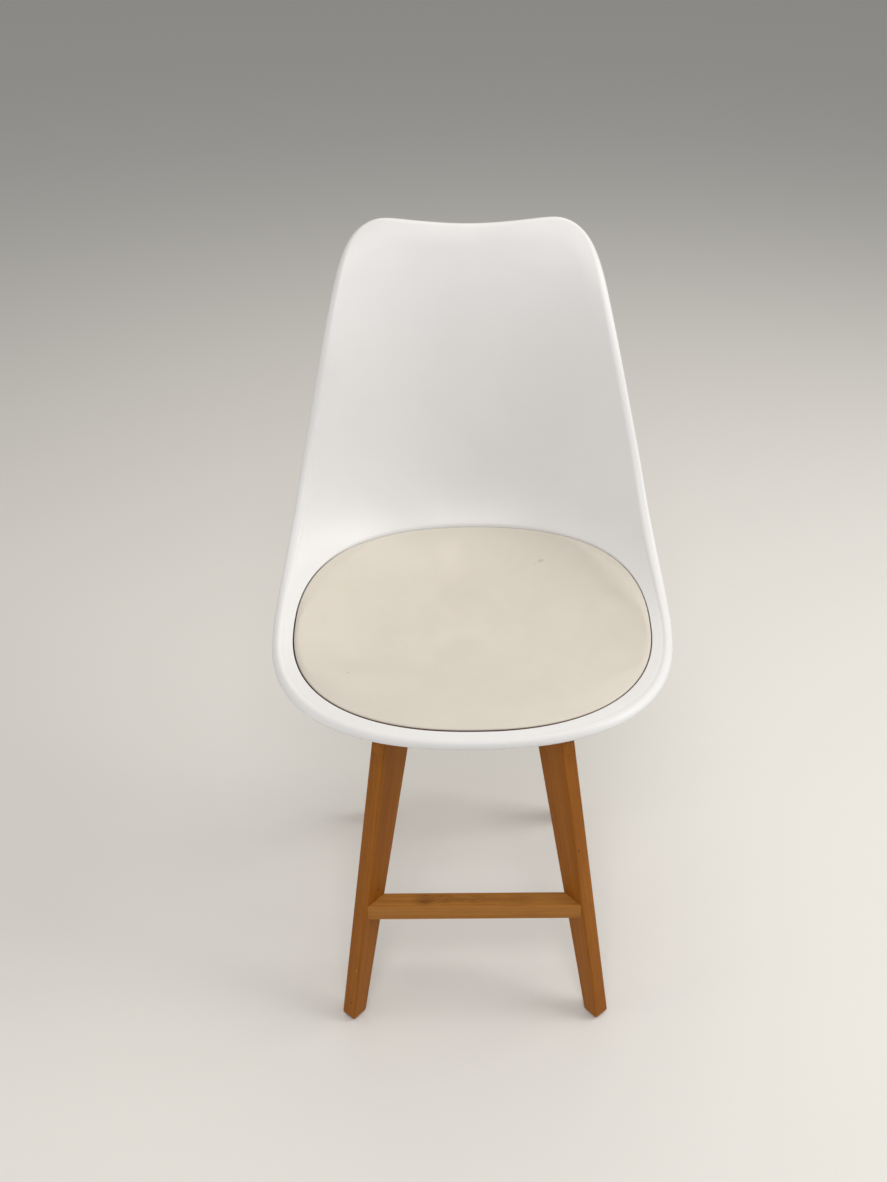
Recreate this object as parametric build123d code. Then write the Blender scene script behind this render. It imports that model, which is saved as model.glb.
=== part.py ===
from build123d import *
import math
import os

# Dining chair: a moulded bucket shell with a padded seat, on four diagonal wooden legs.
# Millimetres. +Z is up and -Y is the front. Left (-X) and right (+X) in the names are as
# seen from the front. The origin is on the floor under the middle of the whole chair.

# ---- Shell form ---------------------------------------------------------------------
# The sitting surface is a height field along one mould draw direction, which points down
# and backward. Across the draw, a point has coordinates x and q; w is its depth along it.
DRAW_ANGLE = 50.0
FORM_SHIFT_Y = -3.0
STATION = 50.0
CENTRE_DEPTH = [-479, -513, -503, -447, -393, -349, -309, -276, -261,
                -272, -304, -345, -389, -430, -463, -493, -520]
RIM_DEPTH = [-511, -516, -500, -461, -420, -389, -367, -358, -359,
             -372, -395, -423, -449, -466, -476, -485, -493]
HALF_WIDTH = [229, 229, 229, 229, 229, 229, 228, 224, 218,
              209, 200, 188, 176, 165, 150, 136, 121]
HOLLOW = 2.3
# Half of the shell's edge, nose to top dip, as control points of a closed curve.
EDGE = [(0, 89), (97, 95), (184, 130), (237, 204), (226, 330), (204, 479),
        (172, 607), (155, 687), (137, 723), (112, 737), (84, 732), (0, 724)]
EDGE_STEPS = 3
GRID_X = 250.0
GRID_Q = (55.0, 765.0)
GRID_COUNT = (21, 29)
BLOCK = 160.0

# ---- Shell wall ---------------------------------------------------------------------
WALL = 4.5
RIM_DEEP = 9.0
RIM_WIDE = 4.0
RECESS_DEEP = 12.8
BOSS_RADIUS = 11.0

# ---- Seat pad -----------------------------------------------------------------------
PAD_HALF_WIDTH = 208.5
PAD_CENTRE_Q = 254.0
PAD_FRONT = 146.0
PAD_REAR = 159.0
PAD_ROUND = 2.3
PAD_POINTS = 48
PAD_GAP = 1.0
PAD_EDGE_RISE = 2.0
PAD_CROWN = 8.0
COVER = 1.2
BOARD_TOP = -5.0
BOARD_BOTTOM = -11.0
FOLD_BOTTOM = -12.0
FOLD_WIDE = 24.0
STAPLE_COUNT = 24
STAPLE_INSET = 15.0
STAPLE_SPAN = 10.0
STAPLE_WIRE = 0.6
STAPLE_LEG = 5.0

# ---- Wooden frame -------------------------------------------------------------------
FRAME_Y = -68.0
LEG_ANGLE = 40.5
FOOT_RADIUS = 231.5
REAR_ARM_SHORTER = 8.0
LEG_LEAN = 89.0 / 380.0
LEG_THICK = 20.0
FOOT_WIDE = 22.0
LEG_TAPER = 22.2 / 380.0
LEG_BOTTOM = 1.5
LEG_EASE = 2.5
FOOT_EASE = 5.5
RAIL_BOTTOM = 366.0
RAIL_TOP = 402.0
RAIL_EASE = 1.5
STRETCHER_DEEP = 22.5
STRETCHER_HIGH = 21.2
STRETCHER_FRONT_Y = -230.5
STRETCHER_TOP = 174.0
REAR_STRETCHER_LIFT = 12.0
REAR_STRETCHER_IN = 6.0

# ---- Hardware -----------------------------------------------------------------------
BOLT = 6.0
CLEARANCE_HOLE = 6.6
HEAD_DIAMETER = 10.0
HEAD_HIGH = 4.0
SOCKET_ACROSS = 4.0
SOCKET_DEEP = 2.4
WASHER_DIAMETER = 12.5
WASHER_THICK = 1.2
COUNTERBORE = 13.5
LEG_BOLT_Z = 384.0
LEG_BOLT_SINK = 10.0
LEG_BOLT_LONG = 61.0
PLUG_START = 5.6
BARREL_DIAMETER = 10.0
BARREL_LONG = 14.0
BARREL_INSET = 21.5
DOWEL_DIAMETER = 6.0
DOWEL_LONG = 36.0
DOWEL_HEIGHTS = (372.0, 396.0)
STRETCHER_DOWEL_LONG = 32.0
STRETCHER_DOWEL_APART = 9.6
SHELL_BOLT_RADIUS = 70.0
SHELL_BOLT_LONG = 40.0
SHELL_BOLT_SINK = 8.0
SPACER_THICK = 2.0
INSERT_DIAMETER = 8.5
INSERT_LONG = 10.0
LAP_SCREW_DIAMETER = 4.0
LAP_SCREW_LONG = 28.0
LAP_SCREW_HEAD = 8.0
PAD_SCREWS = ((-95.0, -68.0), (95.0, -68.0), (0.0, -168.0), (0.0, 42.0))
PAD_SCREW_DIAMETER = 4.0
PAD_SCREW_HEAD = 9.0
PAD_SCREW_HEAD_HIGH = 2.5
PAD_SCREW_SEAT_GAP = 0.1
PAD_INSERT_DIAMETER = 8.0
PAD_INSERT_SINK = 0.5
GLIDE_DIAMETER = 10.0
GLIDE_HIGH = 4.5
NAIL_DIAMETER = 2.0
NAIL_HEAD = 4.0
NAIL_HEAD_HIGH = 1.0
NAIL_LONG = 16.0

SIN_DRAW = math.sin(math.radians(DRAW_ANGLE))
COS_DRAW = math.cos(math.radians(DRAW_ANGLE))
DRAW = Vector(0, COS_DRAW, -SIN_DRAW)
DRAW_PLANE = Plane(origin=(0, FORM_SHIFT_Y, 0), x_dir=(1, 0, 0), z_dir=-DRAW)
SHELL_BOSS_BOTTOM = RAIL_TOP + SPACER_THICK


def blend(values, place):
    """A uniform cubic B-spline through control values; place counts control spacings."""
    first = min(max(int(place) - 1, 0), len(values) - 4)
    f = place - 1 - first
    weights = ((1 - f) ** 3, 3 * f ** 3 - 6 * f ** 2 + 4,
               -3 * f ** 3 + 3 * f ** 2 + 3 * f + 1, f ** 3)
    return sum(w * v for w, v in zip(weights, values[first:first + 4])) / 6


def form_point(x, q):
    """The point of the sitting surface at x and q."""
    centre = blend(CENTRE_DEPTH, q / STATION)
    rim = blend(RIM_DEPTH, q / STATION)
    across = abs(x) / blend(HALF_WIDTH, q / STATION)
    w = centre + (rim - centre) * across ** HOLLOW
    return Vector(x, q * SIN_DRAW + w * COS_DRAW + FORM_SHIFT_Y, q * COS_DRAW - w * SIN_DRAW)


def form_normal(x, q):
    """The surface's unit normal there, on the sitter's side."""
    step = 0.5
    along_x = form_point(x + step, q) - form_point(x - step, q)
    along_q = form_point(x, q + step) - form_point(x, q - step)
    return along_x.cross(along_q).normalized()


def form_q(x, y):
    """The q of the surface point that is at x and y in plan, on the seat."""
    low, high = GRID_Q[0], 480.0
    for _ in range(50):
        middle = (low + high) / 2
        if form_point(x, middle).Y < y:
            low = middle
        else:
            high = middle
    return low


def form_face(offset):
    """The surface moved along its normals by offset(x, q), as one face."""
    rows = []
    for i in range(GRID_COUNT[0]):
        x = GRID_X * (2 * i / (GRID_COUNT[0] - 1) - 1)
        row = []
        for j in range(GRID_COUNT[1]):
            q = GRID_Q[0] + (GRID_Q[1] - GRID_Q[0]) * j / (GRID_COUNT[1] - 1)
            row.append(form_point(x, q) + form_normal(x, q) * offset(x, q))
        rows.append(row)
    return Face.make_surface_from_array_of_points(rows, tol=0.02)


def below(offset):
    """Everything under the moved surface, down to a depth that covers each use."""
    if not callable(offset):
        return below(lambda x, q: offset)
    return extrude(form_face(offset), amount=BLOCK, dir=DRAW)


def moved_out(points, distance):
    """A closed, counterclockwise ring of points, each moved outward by distance."""
    ring = []
    for before, point, after in zip(points[-1:] + points[:-1], points, points[1:] + points[:1]):
        dx, dq = after[0] - before[0], after[1] - before[1]
        size = math.hypot(dx, dq)
        ring.append((point[0] + distance * dq / size, point[1] - distance * dx / size))
    return ring


def edge_points():
    """The shell's edge as points across the draw, counterclockwise from the nose."""
    controls = EDGE + [(-x, q) for x, q in EDGE[-2:0:-1]]
    count = len(controls)
    closed = controls[-1:] + controls + controls[:3]
    places = [1 + i / EDGE_STEPS for i in range(count * EDGE_STEPS)]
    return [(blend([c[0] for c in closed], p), blend([c[1] for c in closed], p)) for p in places]


def pad_points():
    """The pad opening in the shell, a superellipse that is longer to the rear."""
    ring = []
    for i in range(PAD_POINTS):
        turn = 2 * math.pi * (i + 0.5) / PAD_POINTS
        x = math.copysign(abs(math.cos(turn)) ** (2 / PAD_ROUND), math.cos(turn))
        q = math.copysign(abs(math.sin(turn)) ** (2 / PAD_ROUND), math.sin(turn))
        ring.append((PAD_HALF_WIDTH * x, PAD_CENTRE_Q + (PAD_REAR if q > 0 else PAD_FRONT) * q))
    return ring


def prism(points, distance=0.0):
    """The space inside a ring of points moved out by distance, along the draw."""
    ring = [DRAW_PLANE.from_local_coords(Vector(x, q, 0)) for x, q in moved_out(points, distance)]
    face = Face(Wire([Spline(*ring, periodic=True)]))
    return extrude(face, amount=4 * BLOCK, dir=-DRAW)


def pad_rise(x, q):
    """How far the pad's top stands above the surface."""
    half = PAD_REAR if q > PAD_CENTRE_Q else PAD_FRONT
    out = (x / PAD_HALF_WIDTH) ** 2 + ((q - PAD_CENTRE_Q) / half) ** 2
    return PAD_EDGE_RISE + PAD_CROWN * (1 - min(out, 1.5))


def save(name, *solids):
    shape = solids[0] if len(solids) == 1 else Compound(list(solids))
    shape.label = name
    export_step(shape, f"parts/{name}.step")


def rod(diameter, start, end):
    """A cylinder along local Z, from start to end."""
    solid = Cylinder(diameter / 2, end - start, align=(Align.CENTER, Align.CENTER, Align.MIN))
    return Pos(0, 0, start) * solid


def bolt(long):
    """A socket-head bolt along local Z, with the underside of its head at zero."""
    socket = extrude(RegularPolygon(SOCKET_ACROSS / 2, 6, major_radius=False), SOCKET_DEEP)
    head = fillet(rod(HEAD_DIAMETER, -HEAD_HIGH, 0).edges().sort_by(Axis.Z)[0], 0.8)
    return head + rod(BOLT, 0, long) - Pos(0, 0, -HEAD_HIGH) * socket


def washer():
    return rod(WASHER_DIAMETER, 0, WASHER_THICK) - rod(CLEARANCE_HOLE, 0, WASHER_THICK)


# ---- Places -------------------------------------------------------------------------


def corner_names():
    """Each leg's name with its signs in X and Y."""
    return {"front_left": (-1, -1), "front_right": (1, -1), "rear_left": (-1, 1), "rear_right": (1, 1)}


def blade_plane(corner):
    """A leg's upright plane: local X runs outward from the frame's middle, local Y is up."""
    turn = math.radians(LEG_ANGLE)
    outward = Vector(corner[0] * math.sin(turn), corner[1] * math.cos(turn), 0)
    return Plane(origin=(0, FRAME_Y, 0), x_dir=outward, z_dir=outward.cross(Vector(0, 0, 1)))


def blade_axis(corner, radius, z, inward=True):
    """Local Z along the blade's plane, from a radius and height towards the middle or away."""
    plane = blade_plane(corner)
    direction = plane.x_dir * (-1 if inward else 1)
    return Plane(origin=plane.from_local_coords(Vector(radius, z, 0)), z_dir=direction).location


def upright(corner, radius, z):
    """Local Z straight up, at a radius from the frame's middle."""
    return Location(blade_plane(corner).from_local_coords(Vector(radius, z, 0)))


def leg_radius(corner, z):
    """The radius of the middle of a leg at height z; the rear legs stand a little closer in."""
    return FOOT_RADIUS - LEG_LEAN * z - (REAR_ARM_SHORTER if corner[1] > 0 else 0)


def leg_side(corner, z, side):
    """The radius of a leg's outer (1) or inner (-1) edge at height z."""
    return leg_radius(corner, z) + side * (FOOT_WIDE + LEG_TAPER * z) / 2


def leg_face_x(y):
    """The X of the front right leg's inner face at y, where the stretcher's end meets it."""
    turn = math.radians(LEG_ANGLE)
    return ((FRAME_Y - y) * math.sin(turn) - LEG_THICK / 2) / math.cos(turn)


def pad_screw_axes():
    """Places on the surface with local Z along its normal, one for each pad screw."""
    axes = []
    for x, y in PAD_SCREWS:
        q = form_q(x, y)
        axes.append(Plane(origin=form_point(x, q), z_dir=form_normal(x, q)).location)
    return axes


# ---- Seat ---------------------------------------------------------------------------


def seat_shell():
    """The moulded bucket, with a rolled rim, a stepped recess for the pad and four bosses."""
    top = below(0.0)
    edge = prism(edge_points())
    shell = (top - below(-WALL)) & edge
    shell += (top - below(-RIM_DEEP)) & (edge - prism(edge_points(), -RIM_WIDE))
    shell += (top - below(-RECESS_DEEP - WALL)) & prism(pad_points(), WALL)
    for corner in corner_names().values():
        centre = upright(corner, SHELL_BOLT_RADIUS, 0).position
        floor = form_point(centre.X, form_q(centre.X, centre.Y)).Z - RECESS_DEEP
        shell += Location(centre) * rod(2 * BOSS_RADIUS, SHELL_BOSS_BOTTOM, floor - WALL / 2)
    shell -= (below(BLOCK / 8) - below(-RECESS_DEEP)) & prism(pad_points())
    for corner in corner_names().values():
        shell -= upright(corner, SHELL_BOLT_RADIUS, SHELL_BOSS_BOTTOM) * rod(
            INSERT_DIAMETER, 0, INSERT_LONG)
    for axis in pad_screw_axes():
        shell -= axis * rod(PAD_SCREW_DIAMETER + 0.5, -RECESS_DEEP - 2 * WALL, -RECESS_DEEP + WALL)
    return shell


def shell_inserts():
    insert = rod(INSERT_DIAMETER, 0, INSERT_LONG) - rod(BOLT, 0, INSERT_LONG)
    return [upright(corner, SHELL_BOLT_RADIUS, SHELL_BOSS_BOTTOM) * insert
            for corner in corner_names().values()]


def staples():
    """Wire staples that hold the folded cover to the underside of the board."""
    crown = Box(STAPLE_SPAN, 2 * STAPLE_WIRE, STAPLE_WIRE, align=(Align.CENTER, Align.CENTER, Align.MAX))
    leg = Box(STAPLE_WIRE, 2 * STAPLE_WIRE, STAPLE_LEG, align=(Align.CENTER, Align.CENTER, Align.MIN))
    staple = crown
    for side in (-1, 1):
        staple += Pos(side * (STAPLE_SPAN - STAPLE_WIRE) / 2, 0, 0) * leg
    ring = moved_out(pad_points(), -STAPLE_INSET)
    placed = []
    for i in range(STAPLE_COUNT):
        x, q = ring[i * PAD_POINTS // STAPLE_COUNT]
        next_x, next_q = ring[i * PAD_POINTS // STAPLE_COUNT + 1]
        normal = form_normal(x, q)
        along = form_point(next_x, next_q) - form_point(x, q)
        along -= normal * along.dot(normal)
        plane = Plane(origin=form_point(x, q) + normal * FOLD_BOTTOM, x_dir=along, z_dir=normal)
        placed.append(plane.location * staple)
    return placed


def pad_parts():
    """The pad's board, foam and cover, which the recess holds."""
    upper = below(pad_rise)
    lower = below(lambda x, q: pad_rise(x, q) - COVER)
    board_top = below(BOARD_TOP)
    board_bottom = below(BOARD_BOTTOM)
    core = prism(pad_points(), -PAD_GAP - COVER)
    board = (board_top - board_bottom) & core
    foam = (lower - board_top) & core
    cover = (upper - below(FOLD_BOTTOM)) & prism(pad_points(), -PAD_GAP)
    cover -= (lower - board_bottom) & core
    cover -= board_top & prism(pad_points(), -FOLD_WIDE)
    return board, foam, cover


def pad_inserts():
    """Threaded sleeves in the board, one for each pad screw."""
    low, high = BOARD_BOTTOM + PAD_INSERT_SINK, BOARD_TOP - PAD_INSERT_SINK
    sleeve = rod(PAD_INSERT_DIAMETER, low, high) - rod(PAD_SCREW_DIAMETER, low, high)
    return [axis * sleeve for axis in pad_screw_axes()]


def pad_screws():
    seat = -RECESS_DEEP - WALL - PAD_SCREW_SEAT_GAP
    head = rod(PAD_SCREW_HEAD, seat - PAD_SCREW_HEAD_HIGH, seat)
    head = fillet(head.edges().sort_by(Axis.Z)[0], 1.2)
    screw = head + rod(PAD_SCREW_DIAMETER, seat, BOARD_TOP - 1)
    slot = Box(5, 0.9, 2.4)
    screw -= Pos(0, 0, seat - PAD_SCREW_HEAD_HIGH) * (slot + Rot(0, 0, 90) * slot)
    return [axis * screw for axis in pad_screw_axes()]


# ---- Wooden frame -------------------------------------------------------------------


def upright_board(corner, outline, thick):
    """A board in a leg's plane, from its outline in radius and height."""
    plane = blade_plane(corner)
    face = plane * make_face(Polyline(*outline, close=True))
    return extrude(face, amount=thick / 2, both=True)


def leg_blank(corner):
    """A tapered blade with eased edges and a rounded foot."""
    outline = [(leg_side(corner, z, side), z) for z, side in (
        (LEG_BOTTOM, -1), (LEG_BOTTOM, 1), (RAIL_TOP, 1), (RAIL_TOP, -1))]
    blank = upright_board(corner, outline, LEG_THICK)
    blank = fillet(blank.edges().group_by(Axis.Z)[0], FOOT_EASE)
    return fillet([e for e in blank.edges() if e.length > LEG_BOLT_Z / 2], LEG_EASE)


def leg_and_plug(corner):
    """The leg, bored for its bolt, dowels and glide, and the wooden plug over its bolt."""
    solid = leg_blank(corner)
    floor = leg_side(corner, LEG_BOLT_Z, 1) - LEG_BOLT_SINK
    outward = blade_axis(corner, floor, LEG_BOLT_Z, False)
    plug = solid & outward * rod(COUNTERBORE, PLUG_START, 2 * COUNTERBORE)
    solid -= outward * rod(COUNTERBORE, 0, 2 * COUNTERBORE)
    solid -= outward * rod(CLEARANCE_HOLE, -LEG_BOLT_LONG, 0)
    foot = leg_radius(corner, GLIDE_HIGH)
    solid -= upright(corner, foot, 0) * rod(GLIDE_DIAMETER, 0, GLIDE_HIGH)
    solid -= upright(corner, foot, 0) * rod(NAIL_DIAMETER, 0, NAIL_LONG)
    for dowel in rail_dowels(corner) + stretcher_dowels(corner):
        solid -= dowel
    return solid, plug


def rail_dowels(corner):
    half = DOWEL_LONG / 2
    return [blade_axis(corner, leg_side(corner, z, -1), z) * rod(DOWEL_DIAMETER, -half, half)
            for z in DOWEL_HEIGHTS]


def cross_rail(corner):
    """A rail from this front leg to the rear leg diagonally behind it."""
    opposite = (-corner[0], -corner[1])
    outline = [(-leg_side(opposite, RAIL_BOTTOM, -1), RAIL_BOTTOM),
               (leg_side(corner, RAIL_BOTTOM, -1), RAIL_BOTTOM),
               (leg_side(corner, RAIL_TOP, -1), RAIL_TOP),
               (-leg_side(opposite, RAIL_TOP, -1), RAIL_TOP)]
    blank = upright_board(corner, outline, LEG_THICK)
    along = blade_plane(corner).x_dir
    long_edges = [e for e in blank.edges() if abs(e.tangent_at(0).dot(along)) > 0.99]
    rail = fillet(long_edges, RAIL_EASE)
    for end in (corner, opposite):
        floor = RAIL_BOTTOM + SHELL_BOLT_SINK
        rail -= upright(end, SHELL_BOLT_RADIUS, 0) * rod(COUNTERBORE, 0, floor)
        rail -= upright(end, SHELL_BOLT_RADIUS, 0) * rod(CLEARANCE_HOLE, 0, 2 * RAIL_TOP)
        reach = leg_side(end, LEG_BOLT_Z, -1)
        bore = reach - barrel_radius(end) + BARREL_DIAMETER
        rail -= blade_axis(end, reach + BOLT, LEG_BOLT_Z) * rod(CLEARANCE_HOLE, 0, bore + BOLT)
        rail -= barrel_axis(end) * rod(BARREL_DIAMETER, -LEG_THICK, LEG_THICK)
        for dowel in rail_dowels(end):
            rail -= dowel
    return rail


def lap_notch(corner, low, high):
    """The space that the crossing rail takes, between two heights."""
    reach = leg_side(corner, RAIL_TOP, -1)
    outline = [(-reach, low), (reach, low), (reach, high), (-reach, high)]
    return upright_board(corner, outline, LEG_THICK)


def cross_rails():
    """Both rails, half-lapped where they cross and bored for the lap screw."""
    left, right = (-1, -1), (1, -1)
    middle = (RAIL_BOTTOM + RAIL_TOP) / 2
    screw = Location((0, FRAME_Y, 0)) * lap_screw_shape()
    lower = cross_rail(left) - lap_notch(right, middle, 2 * RAIL_TOP) - screw
    upper = cross_rail(right) - lap_notch(left, 0, middle) - screw
    return lower, upper


def lap_screw_shape():
    """A countersunk screw pointing up, flush with the underside of the rails."""
    sink = LAP_SCREW_HEAD / 2 - LAP_SCREW_DIAMETER / 2
    head = Pos(0, 0, RAIL_BOTTOM + sink / 2) * Cone(LAP_SCREW_HEAD / 2, LAP_SCREW_DIAMETER / 2, sink)
    return head + rod(LAP_SCREW_DIAMETER, RAIL_BOTTOM + sink, RAIL_BOTTOM + LAP_SCREW_LONG)


def barrel_radius(corner):
    return leg_side(corner, LEG_BOLT_Z, -1) - BARREL_INSET


def barrel_axis(corner):
    """Local Z across the rail, at the middle of its barrel nut."""
    plane = blade_plane(corner)
    centre = plane.from_local_coords(Vector(barrel_radius(corner), LEG_BOLT_Z, 0))
    return Plane(origin=centre, z_dir=plane.z_dir).location


def stretcher(side_y):
    """The bar between the two front (-1) or rear (1) legs, mitred to their inner faces."""
    back_y = STRETCHER_FRONT_Y + STRETCHER_DEEP
    inward = REAR_STRETCHER_IN if side_y > 0 else 0
    front_x = leg_face_x(STRETCHER_FRONT_Y + inward)
    back_x = leg_face_x(back_y + inward)
    outline = [(front_x, STRETCHER_FRONT_Y), (back_x, back_y),
               (-back_x, back_y), (-front_x, STRETCHER_FRONT_Y)]
    blank = extrude(make_face(Polyline(*outline, close=True)), STRETCHER_HIGH)
    bar = fillet(blank.edges().filter_by(Axis.X), RAIL_EASE)
    bar = Pos(0, 0, STRETCHER_TOP - STRETCHER_HIGH) * bar
    if side_y > 0:
        bar = Pos(0, -REAR_STRETCHER_IN, REAR_STRETCHER_LIFT) * mirror(bar, Plane.XZ.offset(-FRAME_Y))
    for side_x in (-1, 1):
        for dowel in stretcher_dowels((side_x, side_y)):
            bar -= dowel
    return bar


def stretcher_dowels(corner):
    """Two dowels along X, one above the other, through the joint of stretcher and leg."""
    inward = REAR_STRETCHER_IN if corner[1] > 0 else 0
    y = STRETCHER_FRONT_Y + STRETCHER_DEEP / 2 + inward
    x = corner[0] * leg_face_x(y)
    z = STRETCHER_TOP - STRETCHER_HIGH / 2
    if corner[1] > 0:
        y = 2 * FRAME_Y - y
        z += REAR_STRETCHER_LIFT
    half = STRETCHER_DOWEL_LONG / 2
    pin = rod(DOWEL_DIAMETER, -half, half)
    return [Plane(origin=(x, y, z + lift), z_dir=(1, 0, 0)).location * pin
            for lift in (-STRETCHER_DOWEL_APART / 2, STRETCHER_DOWEL_APART / 2)]


# ---- Hardware -----------------------------------------------------------------------


def leg_hardware(corner):
    """The bolt, washer and barrel nut that pull one leg against its rail."""
    floor = leg_side(corner, LEG_BOLT_Z, 1) - LEG_BOLT_SINK
    seat = floor + WASHER_THICK
    placed_bolt = blade_axis(corner, seat, LEG_BOLT_Z) * bolt(LEG_BOLT_LONG)
    placed_washer = blade_axis(corner, seat, LEG_BOLT_Z) * washer()
    nut = barrel_axis(corner) * rod(BARREL_DIAMETER, -BARREL_LONG / 2, BARREL_LONG / 2)
    nut -= blade_axis(corner, seat, LEG_BOLT_Z) * rod(BOLT, 0, 2 * LEG_BOLT_LONG)
    return placed_bolt, placed_washer, nut


def shell_hardware(corner):
    """The bolt, washer and spacer that hold the shell on one arm of the rails."""
    seat = RAIL_BOTTOM + SHELL_BOLT_SINK - WASHER_THICK
    spacer = rod(2 * BOSS_RADIUS, 0, SPACER_THICK) - rod(CLEARANCE_HOLE, 0, SPACER_THICK)
    return (upright(corner, SHELL_BOLT_RADIUS, seat) * bolt(SHELL_BOLT_LONG),
            upright(corner, SHELL_BOLT_RADIUS, seat) * washer(),
            upright(corner, SHELL_BOLT_RADIUS, RAIL_TOP) * spacer)


def glide(corner):
    """A nylon disc set in the end of a leg, and the nail that holds it."""
    foot = leg_radius(corner, GLIDE_HIGH)
    disc = rod(GLIDE_DIAMETER, 0, GLIDE_HIGH)
    disc = fillet(disc.edges().sort_by(Axis.Z)[0], NAIL_HEAD_HIGH)
    pocket = 1.3 * NAIL_HEAD_HIGH
    disc -= rod(NAIL_HEAD, 0, pocket) + rod(NAIL_DIAMETER, pocket, GLIDE_HIGH)
    nail = rod(NAIL_HEAD, pocket - NAIL_HEAD_HIGH, pocket) + rod(NAIL_DIAMETER, pocket, NAIL_LONG)
    return upright(corner, foot, 0) * disc, upright(corner, foot, 0) * nail


def main():
    os.makedirs("parts", exist_ok=True)
    corners = corner_names()

    save("seat_shell", seat_shell())
    save("shell_inserts", *shell_inserts())

    board, foam, cover = pad_parts()
    sleeves = pad_inserts()
    wires = staples()
    for axis in pad_screw_axes():
        board -= axis * rod(PAD_INSERT_DIAMETER, BOARD_BOTTOM - 2, BOARD_TOP + 2)
    for wire in wires:
        board -= wire
        cover -= wire
    save("cushion_board", board)
    save("cushion_foam", foam)
    save("cushion_cover", cover)
    save("cushion_inserts", *sleeves)
    save("cushion_screws", *pad_screws())
    save("cover_staples", *wires)

    lower_rail, upper_rail = cross_rails()
    save("lower_cross_rail", lower_rail)
    save("upper_cross_rail", upper_rail)
    save("lap_screw", Location((0, FRAME_Y, 0)) * lap_screw_shape())
    save("front_stretcher", stretcher(-1))
    save("rear_stretcher", stretcher(1))

    nails, plugs = [], []
    for name, corner in corners.items():
        leg, plug = leg_and_plug(corner)
        disc, nail = glide(corner)
        plugs.append(plug)
        nails.append(nail)
        save(f"{name}_leg", leg)
        save(f"{name}_glide", disc)
    save("bolt_plugs", *plugs)
    save("glide_nails", *nails)

    leg_sets = [leg_hardware(corner) for corner in corners.values()]
    for name, pieces in zip(("leg_bolts", "leg_washers", "barrel_nuts"), zip(*leg_sets)):
        save(name, *pieces)
    shell_sets = [shell_hardware(corner) for corner in corners.values()]
    for name, pieces in zip(("shell_bolts", "shell_washers", "shell_spacers"), zip(*shell_sets)):
        save(name, *pieces)
    save("rail_dowels", *[d for corner in corners.values() for d in rail_dowels(corner)])
    save("stretcher_dowels", *[d for corner in corners.values() for d in stretcher_dowels(corner)])


if __name__ == "__main__":
    main()
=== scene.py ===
import bpy
import math
import numpy as np
from mathutils import Matrix, Vector


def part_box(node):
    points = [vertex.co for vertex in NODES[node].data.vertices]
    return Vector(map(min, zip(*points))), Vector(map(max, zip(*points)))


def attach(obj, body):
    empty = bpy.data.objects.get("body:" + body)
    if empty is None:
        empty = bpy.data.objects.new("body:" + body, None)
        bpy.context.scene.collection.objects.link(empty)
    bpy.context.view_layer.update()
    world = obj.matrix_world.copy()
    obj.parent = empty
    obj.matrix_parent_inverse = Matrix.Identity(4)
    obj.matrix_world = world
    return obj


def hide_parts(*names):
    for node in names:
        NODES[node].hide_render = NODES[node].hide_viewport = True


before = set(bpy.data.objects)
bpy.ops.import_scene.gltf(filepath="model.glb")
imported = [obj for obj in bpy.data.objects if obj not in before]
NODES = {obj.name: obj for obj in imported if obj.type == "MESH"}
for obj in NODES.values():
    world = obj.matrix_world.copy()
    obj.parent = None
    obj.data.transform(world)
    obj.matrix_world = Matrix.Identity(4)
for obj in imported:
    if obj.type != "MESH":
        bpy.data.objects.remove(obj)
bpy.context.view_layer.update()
ROOT = "root"

# ---- Shell form, in millimetres -----------------------------------------------------
# The sitting surface is a height field along one mould draw direction. Across the draw a
# point has coordinates x and q; w is its depth along it. The depths are given in the middle
# and at the half width, at each station along q, and HOLLOW is the power of the curve
# between them. EDGE holds control points (x, q) of the shell's edge, from nose to top.
MM = 0.001
DRAW_ANGLE = math.radians(50.0)
FORM_SHIFT_Y = -3.0
STATION = 50.0
CENTRE_DEPTH = [-479, -513, -503, -447, -393, -349, -309, -276, -261,
                -272, -304, -345, -389, -430, -463, -493, -520]
RIM_DEPTH = [-511, -516, -500, -461, -420, -389, -367, -358, -359,
             -372, -395, -423, -449, -466, -476, -485, -493]
HALF_WIDTH = [229, 229, 229, 229, 229, 229, 228, 224, 218,
              209, 200, 188, 176, 165, 150, 136, 121]
HOLLOW = 2.3
EDGE = [(0, 89), (97, 95), (184, 130), (237, 204), (225, 330), (199, 479),
        (167.5, 607), (155, 687), (139, 723), (112, 737), (84, 732), (0, 724)]
AROUND = 264
# The recess opening is a superellipse; PAD_ROUND is its power.
PAD_HALF_WIDTH = 208.5
PAD_CENTRE_Q = 254.0
PAD_FRONT = 146.0
PAD_REAR = 159.0
PAD_ROUND = 2.3
RECESS_DEEP = 12.8
WALL = 4.5

# Cross-sections of the shell: distance outward from a ring, and height along the normal. The
# lip's third number is the height of its raised bead, which fades out on the backrest.
STEP_FOOT = [(-4.0, -12.8), (-2.2, -12.5), (-0.9, -11.6), (-0.15, -10.2), (0.0, -8.5)]
LIP = [(-11.4, 0.0, 0.0), (-10.2, 0.0, -0.22), (-9.0, -0.02, -0.16), (-7.8, -0.12, 0.22),
       (-6.4, -0.4, 0.65), (-5.0, -0.9, 0.85), (-3.7, -1.65, 0.75), (-2.4, -2.7, 0.5),
       (-1.3, -3.9, 0.2), (-0.5, -5.3, 0.0), (0.0, -6.8, 0.0), (-0.1, -7.9, 0.0),
       (-0.7, -8.7, 0.0), (-1.7, -9.0, 0.0), (-2.7, -8.8, 0.0), (-3.4, -8.0, 0.0),
       (-4.2, -6.9, 0.0), (-5.4, -5.7, 0.0), (-7.4, -4.9, 0.0), (-9.6, -4.55, 0.0)]
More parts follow.
